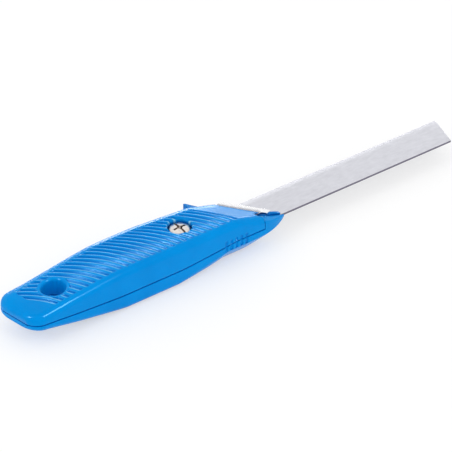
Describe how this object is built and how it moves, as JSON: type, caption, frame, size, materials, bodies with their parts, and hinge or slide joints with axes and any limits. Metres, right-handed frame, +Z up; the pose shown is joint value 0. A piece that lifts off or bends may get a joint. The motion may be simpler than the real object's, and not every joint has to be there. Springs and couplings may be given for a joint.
{
  "type": "insulation knife",
  "caption": "Insulation knife with a long slant-ended blade on a sliding carrier, clamped by a screw in a two-half moulded grip with arced grooves and a hang hole.",
  "frame": {"origin": "on the flat land under the handle, below the centre line of the blade, 21.8 mm behind the screw's axis", "axes": "+X along the blade towards its tip, +Y towards the cutting edge, +Z up through the screw's head"},
  "size_m": [0.2425, 0.0308, 0.0205],
  "materials": {
    "blue_plastic": "satin moulded, fine grain",
    "dark_blue_plastic": "satin moulded",
    "blade_steel": "rolled strip with a ground edge",
    "plate_steel": "bright strip",
    "zinc_steel": "bright zinc plated"
  },
  "bodies": {
    "handle": {"lower_shell": "blue_plastic", "screw_nut": "zinc_steel"},
    "cover": {"upper_shell": "blue_plastic", "pressure_plate": "plate_steel"},
    "screw": {"handle_screw": "zinc_steel"},
    "slider": {"blade": "blade_steel", "blade_carrier": "dark_blue_plastic"}
  },
  "joints": [
    {"name": "blade_slide", "type": "slide", "parent": "handle", "child": "slider", "axis": [1, 0, 0], "range_m": [-0.02, 0]},
    {"name": "cover_lift", "type": "slide", "parent": "handle", "child": "cover", "axis": [0, 0, 1], "range_m": [0, 0.03]},
    {"name": "screw_turn", "type": "hinge", "parent": "cover", "child": "screw", "pos_m": [0.0218, 0, 0.0158], "axis": [0, 0, 1], "continuous": true}
  ]
}
